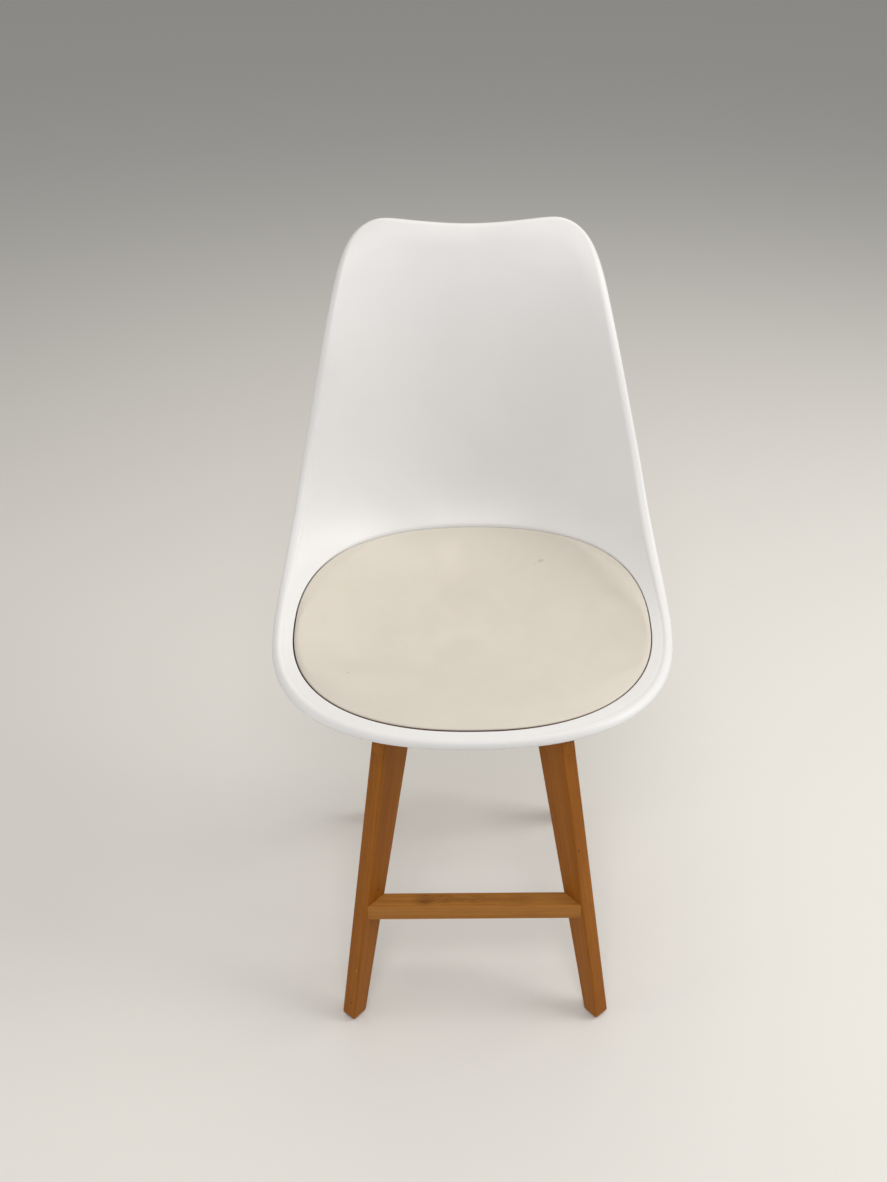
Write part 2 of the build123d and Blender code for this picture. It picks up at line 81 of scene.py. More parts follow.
TUB = [(9.0, -4.55), (7.2, -4.9), (6.0, -5.8), (5.2, -7.4), (4.8, -9.4), (4.6, -12.0),
       (4.2, -14.2), (3.2, -15.9), (1.6, -17.0), (-0.6, -17.3)]
# Around the backrest, from FLARE_FROM to FLARE_FULL, the skin comes to turn away from the sitter
# over this width and by this much, and the rolled lip gets narrower.
FLARE_WIDE = 24.0
FLARE_DROP = 2.8
FLARE_FROM, FLARE_FULL = 380.0, 480.0
LIP_NARROWED = 0.45
# The rounded shoulder of the recess: its radius at the front, and how much larger at the rear.
SHOULDER = 1.3
SHOULDER_REAR_MORE = 7.0
# How many rings of points each part of the shell has.
SHOULDER_RINGS = 8
SKIN_RINGS = 60
UNDER_RINGS = 44
FLOOR_RINGS = 14
# The first ring of a floor starts this share of a spacing in from the ring before it.
FLOOR_START = 0.7

# ---- Seat pad, in millimetres -------------------------------------------------------
# The gap between the pad and the recess wall, how much more it is at the front and less at the
# rear, and how far off centre the pad lies in x and q.
PAD_GAP = 1.2
PAD_GAP_FRONT_MORE = 0.5
PAD_GAP_REAR_LESS = 0.5
PAD_SHIFT = (0.3, 0.5)
PAD_CELLS = (84, 60)
PAD_EDGE_RISE = 1.6
PAD_CROWN = 3.5
PAD_SWELL = 5.0
COVER = 1.2
PAD_REAR_DROP = 2.4
# The pad's rolled edge: its width at the sides, and how much wider and narrower it is at the
# front and the rear; its depth, and how much less deep it is at the rear, where it rests on the
# shoulder.
ROLL_WIDE = 8.0
ROLL_FRONT_MORE = 5.0
ROLL_REAR_LESS = 6.0
ROLL_DEEP = 2.8
ROLL_DEEP_REAR_LESS = 1.0
ROLL_RINGS = 7
# The least height between the roll and the pad's bottom.
ROLL_CLEAR = 0.5
# The share of the shoulder's reach that the pad's edge follows.
ON_SHOULDER = 0.9
# Points of the side and bottom, below the roll: distance outward, height.
PAD_FOOT = [(0.0, -5.2), (0.0, -8.2), (-0.15, -10.2), (-0.8, -11.4), (-2.2, -11.95)]
PAD_BOTTOM = -12.0
FOAM_BOTTOM = -5.0
# The size of the bottom's grid of points, as a share of the top's.
BOTTOM_SHARE = 0.98
PRESSURE = 0.5
CLOTH_FRAMES = 20
# Faint marks on the pad, in metres: place, size along each axis, colour and strength.
PAD_MARKS_AND_SHEEN = [((0.087, 0.0885, 0.455), (0.006, 0.004, 0.01), (0.33, 0.25, 0.17), 0.4),
             ((0.080, 0.0840, 0.454), (0.004, 0.003, 0.01), (0.4, 0.31, 0.22), 0.25),
             ((-0.1397, -0.1306, 0.444), (0.002, 0.002, 0.006), (0.36, 0.2, 0.15), 0.5),
             # The last mark is a pale streak of painted sheen.
             ((-0.026, 0.095, 0.455), (0.026, 0.055, 0.03), (0.8, 0.74, 0.64), 0.22)]

# ---- Wooden frame, in millimetres ---------------------------------------------------
FRAME_Y = -68.0
LEG_ANGLE = math.radians(40.5)
LEG_LEAN = 89.0 / 380.0
FOOT_RADIUS = 231.5
SHELL_BOLT_RADIUS = 70.0
BOSS_RADIUS = 11.0
BOSS_HOLE = 4.25
BOSS_BOTTOM = 404.0
BOSS_BORE = 10.0
BOSS_AROUND = 48
WOOD_DARK = (0.258, 0.082, 0.0078)
WOOD_LIGHT = (0.34, 0.118, 0.0125)
WOOD_RING = (0.196, 0.058, 0.006)
WOOD_FIBRE = (0.165, 0.046, 0.0045)
WOOD_RAY = (0.088, 0.024, 0.003)
LEG_TINT = (1.0, 1.0, 1.0)
RAIL_TINT = (0.85, 0.85, 0.85)
STRETCHER_TINT = (1.4, 1.8, 3.8)
# Knots and marks: radius, sideways place and height on a leg, or x, y and z on the stretcher;
# then their size along and across the grain, colour and strength.
KNOT = (0.035, 0.012, 0.004)
SCUFF = (0.55, 0.4, 0.22)
SMUDGE = (0.13, 0.045, 0.012)
LEG_SPOTS = {
    "front_left": [((185.4, -10.0, 187.5), (4.2, 1.9), KNOT, 0.9),
                   ((182.5, -10.0, 196.0), (11.0, 1.6), KNOT, 0.55),
                   ((226.5, -5.7, 77.8), (1.6, 1.3), SCUFF, 0.8),
                   ((236.8, -2.5, 27.8), (3.0, 1.8), KNOT, 0.8)],
    "front_right": [((191.4, 4.4, 249.1), (2.8, 1.8), KNOT, 0.9)],
}
STRETCHER_SPOTS = {
    "front": [((-58.0, -219.0, 173.5), (22.0, 13.0), SMUDGE, 0.75),
              ((-34.0, -218.0, 173.5), (24.0, 11.0), SMUDGE, 0.65),
              ((2.0, -218.0, 173.5), (40.0, 12.0), SMUDGE, 0.45),
              ((50.0, -219.0, 173.5), (34.0, 12.0), SMUDGE, 0.35)],
}
CORNERS = {"front_left": (-1, -1), "front_right": (1, -1),
           "rear_left": (-1, 1), "rear_right": (1, 1)}


def blend(values, place):
    """A uniform cubic B-spline through control values; place counts control spacings."""
    values = np.asarray(values, float)
    first = np.clip(np.floor(place).astype(int) - 1, 0, len(values) - 4)
    f = place - 1 - first
    weights = ((1 - f) ** 3, 3 * f ** 3 - 6 * f ** 2 + 4,
               -3 * f ** 3 + 3 * f ** 2 + 3 * f + 1, f ** 3)
    return sum(w * values[first + k] for k, w in enumerate(weights)) / 6


def form_point(x, q):
    """Points of the sitting surface, in millimetres."""
    centre = blend(CENTRE_DEPTH, q / STATION)
    rim = blend(RIM_DEPTH, q / STATION)
    across = np.abs(x) / blend(HALF_WIDTH, q / STATION)
    w = centre + (rim - centre) * across ** HOLLOW
    y = q * math.sin(DRAW_ANGLE) + w * math.cos(DRAW_ANGLE) + FORM_SHIFT_Y
    z = q * math.cos(DRAW_ANGLE) - w * math.sin(DRAW_ANGLE)
    return np.stack([x, y, z], -1)


def form_normal(x, q):
    """Unit normals of the sitting surface, from differences over a small step."""
    step = 0.5
    along_x = form_point(x + step, q) - form_point(x - step, q)
    along_q = form_point(x, q + step) - form_point(x, q - step)
    normal = np.cross(along_x, along_q)
    return normal / np.linalg.norm(normal, axis=-1, keepdims=True)


def lifted(ring, up):
    """The surface above a ring of (x, q) points, moved up along its normals."""
    x, q = ring[:, 0], ring[:, 1]
    up = np.broadcast_to(np.asarray(up, float), x.shape)
    return form_point(x, q) + form_normal(x, q) * up[:, None]


def moved_out(ring, distance):
    """A closed, counterclockwise ring, each point moved outward by distance."""
    run = np.roll(ring, -1, 0) - np.roll(ring, 1, 0)
    out = np.stack([run[:, 1], -run[:, 0]], -1) / np.linalg.norm(run, axis=1)[:, None]
    return ring + out * np.broadcast_to(np.asarray(distance, float), len(ring))[:, None]


def edge_ring():
    """The shell's edge across the draw, counterclockwise from the nose."""
    controls = np.array(EDGE + [(-x, q) for x, q in EDGE[-2:0:-1]], float)
    closed = np.vstack([controls[-1:], controls, controls[:3]])
    place = 1 + np.arange(AROUND) * len(controls) / AROUND
    return np.stack([blend(closed[:, 0], place), blend(closed[:, 1], place)], -1)


def superellipse(turn, half_width, front, rear, power):
    """A rounded outline about the pad's centre, at angles counterclockwise from +x."""
    c, s = np.cos(turn), np.sin(turn)
    x = half_width * np.sign(c) * np.abs(c) ** (2 / power)
    q = np.where(s > 0, rear, front) * np.sign(s) * np.abs(s) ** (2 / power)
    return np.stack([x, PAD_CENTRE_Q + q], -1)


def turns_matching(edge):
    """For each edge point, the angle of the pad opening's point that faces it."""
    run = np.linalg.norm(np.roll(edge, -1, 0) - edge, axis=1)
    length = np.concatenate([[0], np.cumsum(run)[:-1]])
    half = AROUND // 2
    on_other_side = edge[:half, 0] < 0
    side = np.argmin(np.abs(edge[:half, 1] - PAD_CENTRE_Q) + on_other_side * 1e3)
    knots = [0, length[side], length[half], run.sum() - length[side], run.sum()]
    quarter = math.pi / 2
    return np.interp(length, knots, [-quarter, 0, quarter, 2 * quarter, 3 * quarter])


def between(inner, outer, count):
    """Rings spread evenly from one ring to another, both ends left out."""
    return [inner + (outer - inner) * (i + 1) / (count + 1) for i in range(count)]


def toward_centre(ring, count):
    """Rings that shrink from a ring to a dot at the pad's centre."""
    centre = np.array([0.0, PAD_CENTRE_Q])
    return [centre + (ring - centre) * (count - i - FLOOR_START) / count for i in range(count)]


# ---- Meshes -------------------------------------------------------------------------


def new_object(name, verts, faces):
    """A piece on the chair's one body, from vertices in metres."""
    mesh = bpy.data.meshes.new(name)
    mesh.from_pydata([tuple(v) for v in verts], [], faces)
    mesh.validate()
    mesh.update()
    mesh.polygons.foreach_set("use_smooth", [True] * len(mesh.polygons))
    obj = bpy.data.objects.new(name, mesh)
    bpy.context.scene.collection.objects.link(obj)
    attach(obj, ROOT)
    return obj


def ring_faces(ring_count, around):
    """Quads between each ring of points and the next."""
    faces = []
    for r in range(ring_count - 1):
        a, b = r * around, (r + 1) * around
        for i in range(around):
            j = (i + 1) % around
            faces.append((a + i, b + i, b + j, a + j))
    return faces


def closed_rings(rings):
    """Vertices and faces of a closed solid through rings of points, with a fan at each end."""
    around = len(rings[0])
    verts = np.vstack(rings + [rings[0].mean(0)[None], rings[-1].mean(0)[None]])
    faces = ring_faces(len(rings), around)
    first, last = len(verts) - 2, len(verts) - 1
    end = (len(rings) - 1) * around
    for i in range(around):
        j = (i + 1) % around
        faces.append((first, i, j))
        faces.append((last, end + j, end + i))
    return verts, faces


def joined(parts):
    """One list of vertices and one of faces, from several."""
    all_verts, all_faces, start = [], [], 0
    for verts, faces in parts:
        all_verts.append(verts)
        all_faces += [tuple(start + i for i in face) for face in faces]
        start += len(verts)
    return np.vstack(all_verts), all_faces


def rearward(turn):
    """1 at the rear of the pad opening, falling to 0 at its sides and front."""
    return np.clip(np.sin(turn), 0, 1) ** 2


def on_backrest(ring):
    """1 on the backrest and 0 on the seat, at each point of a ring."""
    share = np.clip((ring[:, 1] - FLARE_FROM) / (FLARE_FULL - FLARE_FROM), 0, 1)
    return share ** 2 * (3 - 2 * share)


def flare(ring, edge):
    """How far the skin turns away near the shell's edge, at each point of a ring."""
    away = np.linalg.norm(ring[:, None] - edge[None], axis=2).min(1)
    return -FLARE_DROP * on_backrest(ring) * np.clip(1 - away / FLARE_WIDE, 0, 1) ** 2


def shoulder_reach(height, turn):
    """How far the rounded shoulder has moved out from the recess wall at a height."""
    radius = SHOULDER + SHOULDER_REAR_MORE * rearward(turn)
    risen = np.clip(1 + height / radius, 0, 1)
    return radius * (1 - np.sqrt(1 - risen ** 2))


def shell_step(pad, turn):
    """The recess shoulder, softer at the rear than at the front, and the ring where it ends."""
    radius = SHOULDER + SHOULDER_REAR_MORE * rearward(turn)
    rings = []
    for i in range(SHOULDER_RINGS):
        a = math.pi / 2 * i / (SHOULDER_RINGS - 1)
        out, up = radius * (1 - math.cos(a)), -radius * (1 - math.sin(a))
        rings.append(lifted(moved_out(pad, out), up))
    return rings, moved_out(pad, radius)


def build_shell():
    """The bucket: recess floor, shoulder, skin, rolled lip, underside, tub and bosses."""
    edge = edge_ring()
    backrest = on_backrest(edge)
    narrowed = 1 - LIP_NARROWED * backrest
    turn = turns_matching(edge)
    pad = superellipse(turn, PAD_HALF_WIDTH, PAD_FRONT, PAD_REAR, PAD_ROUND)
    foot = moved_out(pad, STEP_FOOT[0][0])
    rings = [lifted(r, -RECESS_DEEP) for r in reversed(toward_centre(foot, FLOOR_RINGS))]
    rings += [lifted(moved_out(pad, out), up) for out, up in STEP_FOOT]
    shoulder, start = shell_step(pad, turn)
    rings += shoulder
    skin_end = moved_out(edge, LIP[0][0] * narrowed)
    rings += [lifted(r, flare(r, edge)) for r in between(start, skin_end, SKIN_RINGS)]
    for out, up, bead in LIP:
        ring = moved_out(edge, out * narrowed)
        rings.append(lifted(ring, up + bead * (1 - backrest) + flare(ring, edge)))
    inner, outer = moved_out(pad, TUB[0][0]), moved_out(edge, LIP[-1][0] * narrowed)
    rings += [lifted(r, flare(r, edge) - WALL) for r in between(outer, inner, UNDER_RINGS)]
    rings += [lifted(moved_out(pad, out), up) for out, up in TUB]
    last = moved_out(pad, TUB[-1][0])
    rings += [lifted(r, TUB[-1][1]) for r in toward_centre(last, FLOOR_RINGS)]
    verts, faces = joined([closed_rings(rings)] + [boss(corner) for corner in CORNERS.values()])
    shell = new_object("bucket_shell", verts * MM, faces)
    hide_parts("seat_shell")
    return shell


def form_q(x, y):
    """The q of the seat surface's point that is at x and y in plan."""
    q = np.linspace(60.0, 480.0, 2101)
    return float(q[np.argmin(np.abs(form_point(np.full_like(q, x), q)[:, 1] - y))])


def boss(corner):
    """A round boss under the tub with a bore for its insert, flared where it meets the tub."""
    x = corner[0] * SHELL_BOLT_RADIUS * math.sin(LEG_ANGLE)
    y = FRAME_Y + corner[1] * SHELL_BOLT_RADIUS * math.cos(LEG_ANGLE)
    floor = form_point(np.array([x]), np.array([form_q(x, y)]))[0, 2] - RECESS_DEEP
    top = floor - WALL / 2
    profile = [(BOSS_HOLE, BOSS_BOTTOM + BOSS_BORE), (BOSS_HOLE, BOSS_BOTTOM + 0.4),
               (BOSS_HOLE + 0.4, BOSS_BOTTOM),
               (BOSS_RADIUS - 0.6, BOSS_BOTTOM), (BOSS_RADIUS - 0.15, BOSS_BOTTOM + 0.2),
               (BOSS_RADIUS, BOSS_BOTTOM + 0.7), (BOSS_RADIUS, top - 7.0),
               (BOSS_RADIUS + 0.5, top - 4.8), (BOSS_RADIUS + 1.8, top - 3.2), (BOSS_RADIUS + 3.5, top)]
    turn = np.arange(BOSS_AROUND) * 2 * math.pi / BOSS_AROUND
    circle = np.stack([np.cos(turn), np.sin(turn)], -1)
    rings = []
    for radius, z in profile:
        rings.append(np.column_stack([x + radius * circle[:, 0], y - radius * circle[:, 1],
                                      np.full(BOSS_AROUND, z)]))
    return closed_rings(rings)


# ---- Seat pad -----------------------------------------------------------------------


def pad_outline(turn, inset):
    """The recess opening drawn in by inset, a little more at the front and less at the rear."""
    ring = superellipse(turn, PAD_HALF_WIDTH, PAD_FRONT, PAD_REAR, PAD_ROUND)
    gap = inset + PAD_GAP_FRONT_MORE * rearward(-turn) - PAD_GAP_REAR_LESS * np.sqrt(rearward(turn))
    return moved_out(ring, -gap) + np.array(PAD_SHIFT)


def pad_rise(ring, edge_rise, crown):
    """The crown of the pad: highest in the middle, falling to edge_rise all round."""
    back = (ring[:, 1] - PAD_CENTRE_Q) / np.where(ring[:, 1] > PAD_CENTRE_Q, PAD_REAR, PAD_FRONT)
    out = (ring[:, 0] / PAD_HALF_WIDTH) ** 2 + back ** 2
    return edge_rise - PAD_REAR_DROP * np.clip(back, 0, 1) ** 2 + crown * (1 - np.minimum(out, 1))


def square_to_disc(columns, rows):
    """A grid of points over a disc: their shares of the radius, their angles, the grid of
    their indices, and the border's indices in order."""
    u, v = np.meshgrid(np.linspace(-1, 1, columns + 1), np.linspace(-1, 1, rows + 1), indexing="ij")
    x, y = u * np.sqrt(1 - v ** 2 / 2), v * np.sqrt(1 - u ** 2 / 2)
    index = np.arange(u.size).reshape(u.shape)
    border = np.concatenate([index[:-1, 0], index[-1, :-1], index[:0:-1, -1], index[0, :0:-1]])
    return np.hypot(x, y).ravel(), np.arctan2(y, x).ravel(), index, border


def pad_mesh(inset, edge_rise, crown, bottom):
    """A crowned pad with a rolled edge: vertices, faces, the vertices that stay put, and the
    number of the first face below the roll."""
    share, turn, index, border = square_to_disc(*PAD_CELLS)
    round_turn = turn[border]
    rear = rearward(round_turn)
    outline = pad_outline(round_turn, inset)
    wide = ROLL_WIDE + ROLL_FRONT_MORE * rearward(-round_turn) - ROLL_REAR_LESS * rear
    rise = pad_rise(moved_out(outline, -wide), edge_rise, crown)
    deep = np.minimum(ROLL_DEEP - ROLL_DEEP_REAR_LESS * rear, rise - bottom - ROLL_CLEAR)
    lapped = ON_SHOULDER * shoulder_reach(rise - deep, round_turn)
    inner = moved_out(outline, lapped - wide)
    ordered = np.argsort(round_turn)
    centre = np.array([0.0, PAD_CENTRE_Q]) + np.array(PAD_SHIFT)
    reach = [np.interp(turn, round_turn[ordered], inner[ordered, axis], period=2 * math.pi)
             for axis in (0, 1)]
    grid = centre + (np.stack(reach, -1) - centre) * share[:, None]
    top = lifted(grid, pad_rise(grid, edge_rise, crown))
    under = lifted(centre + (grid - centre) * BOTTOM_SHARE, bottom)
    rings = []
    for step in range(1, ROLL_RINGS + 1):
        fall = math.pi / 2 * step / ROLL_RINGS
        ring = moved_out(outline, lapped - wide * (1 - math.sin(fall)))
        rings.append(lifted(ring, rise - deep * (1 - math.cos(fall))))
    rings += [lifted(moved_out(outline, out), up) for out, up in PAD_FOOT if up > bottom]
    around = len(border)
    verts = np.vstack([top] + rings + [under])
    loops = [border] + [len(top) + r * around + np.arange(around) for r in range(len(rings))]
    loops.append(len(top) + len(rings) * around + border)
    faces = []
    for i in range(index.shape[0] - 1):
        for j in range(index.shape[1] - 1):
            cell = (index[i, j], index[i + 1, j], index[i + 1, j + 1], index[i, j + 1])
            faces.append(cell)
            faces.append(tuple(len(verts) - len(under) + k for k in reversed(cell)))
    side = len(faces) + ROLL_RINGS * around
    for upper, lower in zip(loops, loops[1:]):
        for i in range(around):
            j = (i + 1) % around
            faces.append((upper[j], upper[i], lower[i], lower[j]))
    held = np.arange(len(top) + (ROLL_RINGS - 2) * around, len(verts))
    return verts, faces, held, side


def swell(piece, held, furthest):
    """Cloth with air pressure fills the piece out; no point moves further than furthest."""
    scene = bpy.context.scene
    group = piece.vertex_groups.new(name="held")
    group.add([int(i) for i in held], 1.0, "REPLACE")
    cloth = piece.modifiers.new("cloth", "CLOTH")
    cloth.settings.quality = 6
    cloth.settings.mass = 0.3
    cloth.settings.tension_stiffness = 15
    cloth.settings.compression_stiffness = 15
    cloth.settings.bending_stiffness = 2.0
    cloth.settings.vertex_group_mass = group.name
    cloth.settings.use_pressure = True
    cloth.settings.uniform_pressure_force = PRESSURE
    cloth.settings.effector_weights.gravity = 0
    cloth.collision_settings.use_collision = False
    cloth.point_cache.frame_start = 1
    cloth.point_cache.frame_end = CLOTH_FRAMES
    for number in range(1, CLOTH_FRAMES + 1):
        scene.frame_set(number)
    settled = piece.evaluated_get(bpy.context.evaluated_depsgraph_get()).to_mesh()
    after = np.array([v.co for v in settled.vertices])
    before = np.array([v.co for v in piece.data.vertices])
    piece.evaluated_get(bpy.context.evaluated_depsgraph_get()).to_mesh_clear()
    piece.modifiers.remove(cloth)
    scene.frame_set(1)
    move = after - before
    size = np.linalg.norm(move, axis=1, keepdims=True)
    move *= np.tanh(size / furthest) * furthest / np.maximum(size, 1e-9)
    piece.data.vertices.foreach_set("co", (before + move).ravel())
    piece.data.update()


def build_pad():
    """The covered pad, filled out by cloth pressure, and the foam inside it, which is returned."""
    verts, faces, held, side = pad_mesh(PAD_GAP, PAD_EDGE_RISE, PAD_CROWN, PAD_BOTTOM)
    pad = new_object("seat_pad", verts * MM, faces)
    pad.data.materials.append(leatherette().material)
    # The second look is painted shade, for the shadow in the gap along the front half of the pad's side.
    pad.data.materials.append(painted_gap_shade().material)
    middle = form_point(np.array([0.0]), np.array([PAD_CENTRE_Q]))[0, 1] * MM
    for face in pad.data.polygons[side:]:
        face.material_index = int(face.center.y < middle)
    swell(pad, held, PAD_SWELL * MM)
    pad.modifiers.new("smooth", "SUBSURF").render_levels = 1
    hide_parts("cushion_cover")
    inset, foam_rise = PAD_GAP + 2 * COVER, PAD_EDGE_RISE - 1.5 * COVER
    verts, faces, _, _ = pad_mesh(inset, foam_rise, PAD_CROWN, FOAM_BOTTOM)
    foam = new_object("seat_foam", verts * MM, faces)
    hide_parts("cushion_foam")
    return foam


# ---- Materials ----------------------------------------------------------------------


SOCKETS = {"colour": "Base Color", "roughness": "Roughness", "metallic": "Metallic",
           "specular": "Specular IOR Level", "specular_tint": "Specular Tint",
           "sheen": "Sheen Weight", "sheen_roughness": "Sheen Roughness"}


class Look:
    """A procedural material, built up node by node on its Principled shader."""

    def __init__(self, name):
        self.material = bpy.data.materials.new(name)
        self.material.use_nodes = True
        self.tree = self.material.node_tree
        self.shader = self.tree.nodes["Principled BSDF"]
        self.space = self.node("ShaderNodeTexCoord").outputs["Object"]

    def node(self, kind, inputs=(), **settings):
        """A new node; each input takes a value or another node's output."""
        made = self.tree.nodes.new(kind)
        for key, value in settings.items():
            setattr(made, key, value)
        for key, value in dict(inputs).items():
            self.feed(made.inputs[key], value)
        return made

    def feed(self, socket, value):
        if isinstance(value, bpy.types.NodeSocket):
            self.tree.links.new(value, socket)
        else:
            socket.default_value = value

    def set(self, **values):
        """Sets the shader's own sockets."""
        for key, value in values.items():
            if isinstance(value, tuple):
                value = (*value, 1.0)
            self.feed(self.shader.inputs[SOCKETS[key]], value)

    def stretched(self, scale, space=None):
        """Coordinates scaled along each axis, so that larger numbers give finer detail."""
        space = space or self.space
        return self.node("ShaderNodeMapping", {"Vector": space, "Scale": scale}).outputs["Vector"]

    def noise(self, scale, detail=2.0, rough=0.5, warp=0.0, space=None):
        inputs = {"Vector": space or self.space, "Scale": scale, "Detail": detail,
                  "Roughness": rough, "Distortion": warp}
        return self.node("ShaderNodeTexNoise", inputs).outputs["Fac"]

    def cells(self, scale, space=None, feature="F1"):
        inputs = {"Vector": space or self.space, "Scale": scale}
        return self.node("ShaderNodeTexVoronoi", inputs, feature=feature).outputs["Distance"]

    def levels(self, value, low, high, to_low=0.0, to_high=1.0):
        """A value spread from one range to another, and held at its ends."""
        inputs = {"Value": value, "From Min": low, "From Max": high, "To Min": to_low, "To Max": to_high}
        return self.node("ShaderNodeMapRange", inputs).outputs["Result"]

    def maths(self, operation, first, second):
        return self.node("ShaderNodeMath", {0: first, 1: second}, operation=operation).outputs["Value"]

    def mixed(self, share, first, second):
        """Two colours mixed: the first where share is 0, the second where it is 1."""
        made = self.node("ShaderNodeMix", data_type="RGBA")
        # A Mix node has sockets for each type of data; 6, 7 and output 2 are the colours.
        factor, one, two = made.inputs[0], made.inputs[6], made.inputs[7]
        for socket, value in ((factor, share), (one, first), (two, second)):
            is_colour = isinstance(value, tuple) and len(value) == 3
            self.feed(socket, (*value, 1.0) if is_colour else value)
        return made.outputs[2]

    def bumped(self, height, distance, strength=1.0):
        """Relief of the given height in metres, on top of any that is there already."""
        inputs = {"Height": height, "Distance": distance, "Strength": strength}
        links = self.shader.inputs["Normal"].links
        if links:
            inputs["Normal"] = links[0].from_socket
        made = self.node("ShaderNodeBump", inputs)
        self.feed(self.shader.inputs["Normal"], made.outputs["Normal"])

    def near(self, place, size, space=None):
        """1 at a place, falling to 0 at size away from it; size may differ along each axis."""
        away = self.node("ShaderNodeVectorMath", {0: space or self.space, 1: tuple(place)},
                         operation="SUBTRACT").outputs["Vector"]
        scaled = self.node("ShaderNodeVectorMath", {0: away, 1: tuple(size)}, operation="DIVIDE")
        length = self.node("ShaderNodeVectorMath", {0: scaled.outputs["Vector"]}, operation="LENGTH")
        inputs = {"Value": length.outputs["Value"], "From Min": 1.0, "From Max": 0.15}
        return self.node("ShaderNodeMapRange", inputs, interpolation_type="SMOOTHSTEP").outputs["Result"]


def dress(piece, look):
    """Gives every material slot of a piece this look."""
    if not piece.material_slots:
        piece.data.materials.append(None)
    for slot in piece.material_slots:
        slot.material = look.material


def white_plastic():
    """Satin injection-moulded plastic with a faint flow pattern and a fine moulded texture."""
    look = Look("white_plastic")
    flow = look.levels(look.noise(7.0, 3.0, 0.55, 0.6), 0.35, 0.65)
    look.set(colour=look.mixed(flow, (0.765, 0.76, 0.755), (0.79, 0.785, 0.78)))
    handled = look.noise(22.0, 4.0, 0.6)
    look.set(roughness=look.levels(handled, 0.3, 0.7, 0.36, 0.44))
    look.set(specular=0.45)
    look.bumped(look.noise(26.0, 2.0), 0.00025, 0.35)
    look.bumped(look.cells(1500.0), 0.00002, 0.35)
    return look


def leatherette():
    """Smooth coated upholstery cloth, faintly marbled, with a fine pebble grain."""
    look = Look("beige_leatherette")
    marbling = look.levels(look.noise(12.0, 5.0, 0.6, 0.25), 0.3, 0.7)
    colour = look.mixed(marbling, (0.632, 0.588, 0.508), (0.672, 0.628, 0.552))
    speckle = look.levels(look.noise(420.0, 3.0, 0.6), 0.62, 0.8)
    colour = look.mixed(look.maths("MULTIPLY", speckle, 0.18), colour, (0.5, 0.42, 0.32))
    # Stains, and one pale streak of painted sheen.
    for place, size, mark_colour, strength in PAD_MARKS_AND_SHEEN:
        mark = look.maths("MULTIPLY", look.near(place, size), strength)
        colour = look.mixed(mark, colour, mark_colour)
    look.set(colour=colour)
    look.set(roughness=look.levels(look.noise(30.0, 4.0, 0.6), 0.3, 0.7, 0.44, 0.54))
    look.set(specular=0.4, sheen=0.06, sheen_roughness=0.4)
    look.bumped(look.noise(34.0, 3.0, 0.5, 0.4), 0.0003, 0.3)
    look.bumped(look.cells(1100.0, feature="SMOOTH_F1"), 0.00004, 0.6)
    look.bumped(look.noise(2600.0, 2.0), 0.00002, 0.4)
    return look


def painted_gap_shade():
    """Painted shade: dark brown on the pad's side below its roll, from its front to its widest place, in
    the gap.
    """
    look = Look("painted_gap_shade_brown")
    weave = look.noise(1400.0, 2.0)
    look.set(colour=look.mixed(weave, (0.13, 0.055, 0.04), (0.19, 0.09, 0.07)), roughness=0.8)
    look.bumped(weave, 0.00005, 0.5)
    return look


def foam():
    """Pale open-cell foam."""
    look = Look("cushion_foam_look")
    pores = look.cells(900.0)
    shade = look.levels(pores, 0.1, 0.6)
    look.set(colour=look.mixed(shade, (0.52, 0.46, 0.24), (0.8, 0.74, 0.46)), roughness=0.95)
    look.bumped(pores, 0.0003, 0.8)
    return look


class Grain:
    """Where a board's wood runs: local X along the piece, from a point on it."""

    def __init__(self, origin, along, across):
        x_axis = Vector(along).normalized()
        z_axis = x_axis.cross(Vector(across)).normalized()
        y_axis = z_axis.cross(x_axis)
        self.origin = Vector(origin)
        self.axes = Matrix((x_axis, y_axis, z_axis)).transposed()

    def local(self, place):
        return self.axes.transposed() @ (Vector(place) - self.origin)

    def space(self, look):
        """Coordinates along and across the piece, in metres."""
        inputs = {"Vector": look.space, "Location": self.origin, "Rotation": self.axes.to_euler()}
        return look.node("ShaderNodeMapping", inputs, vector_type="TEXTURE").outputs["Vector"]


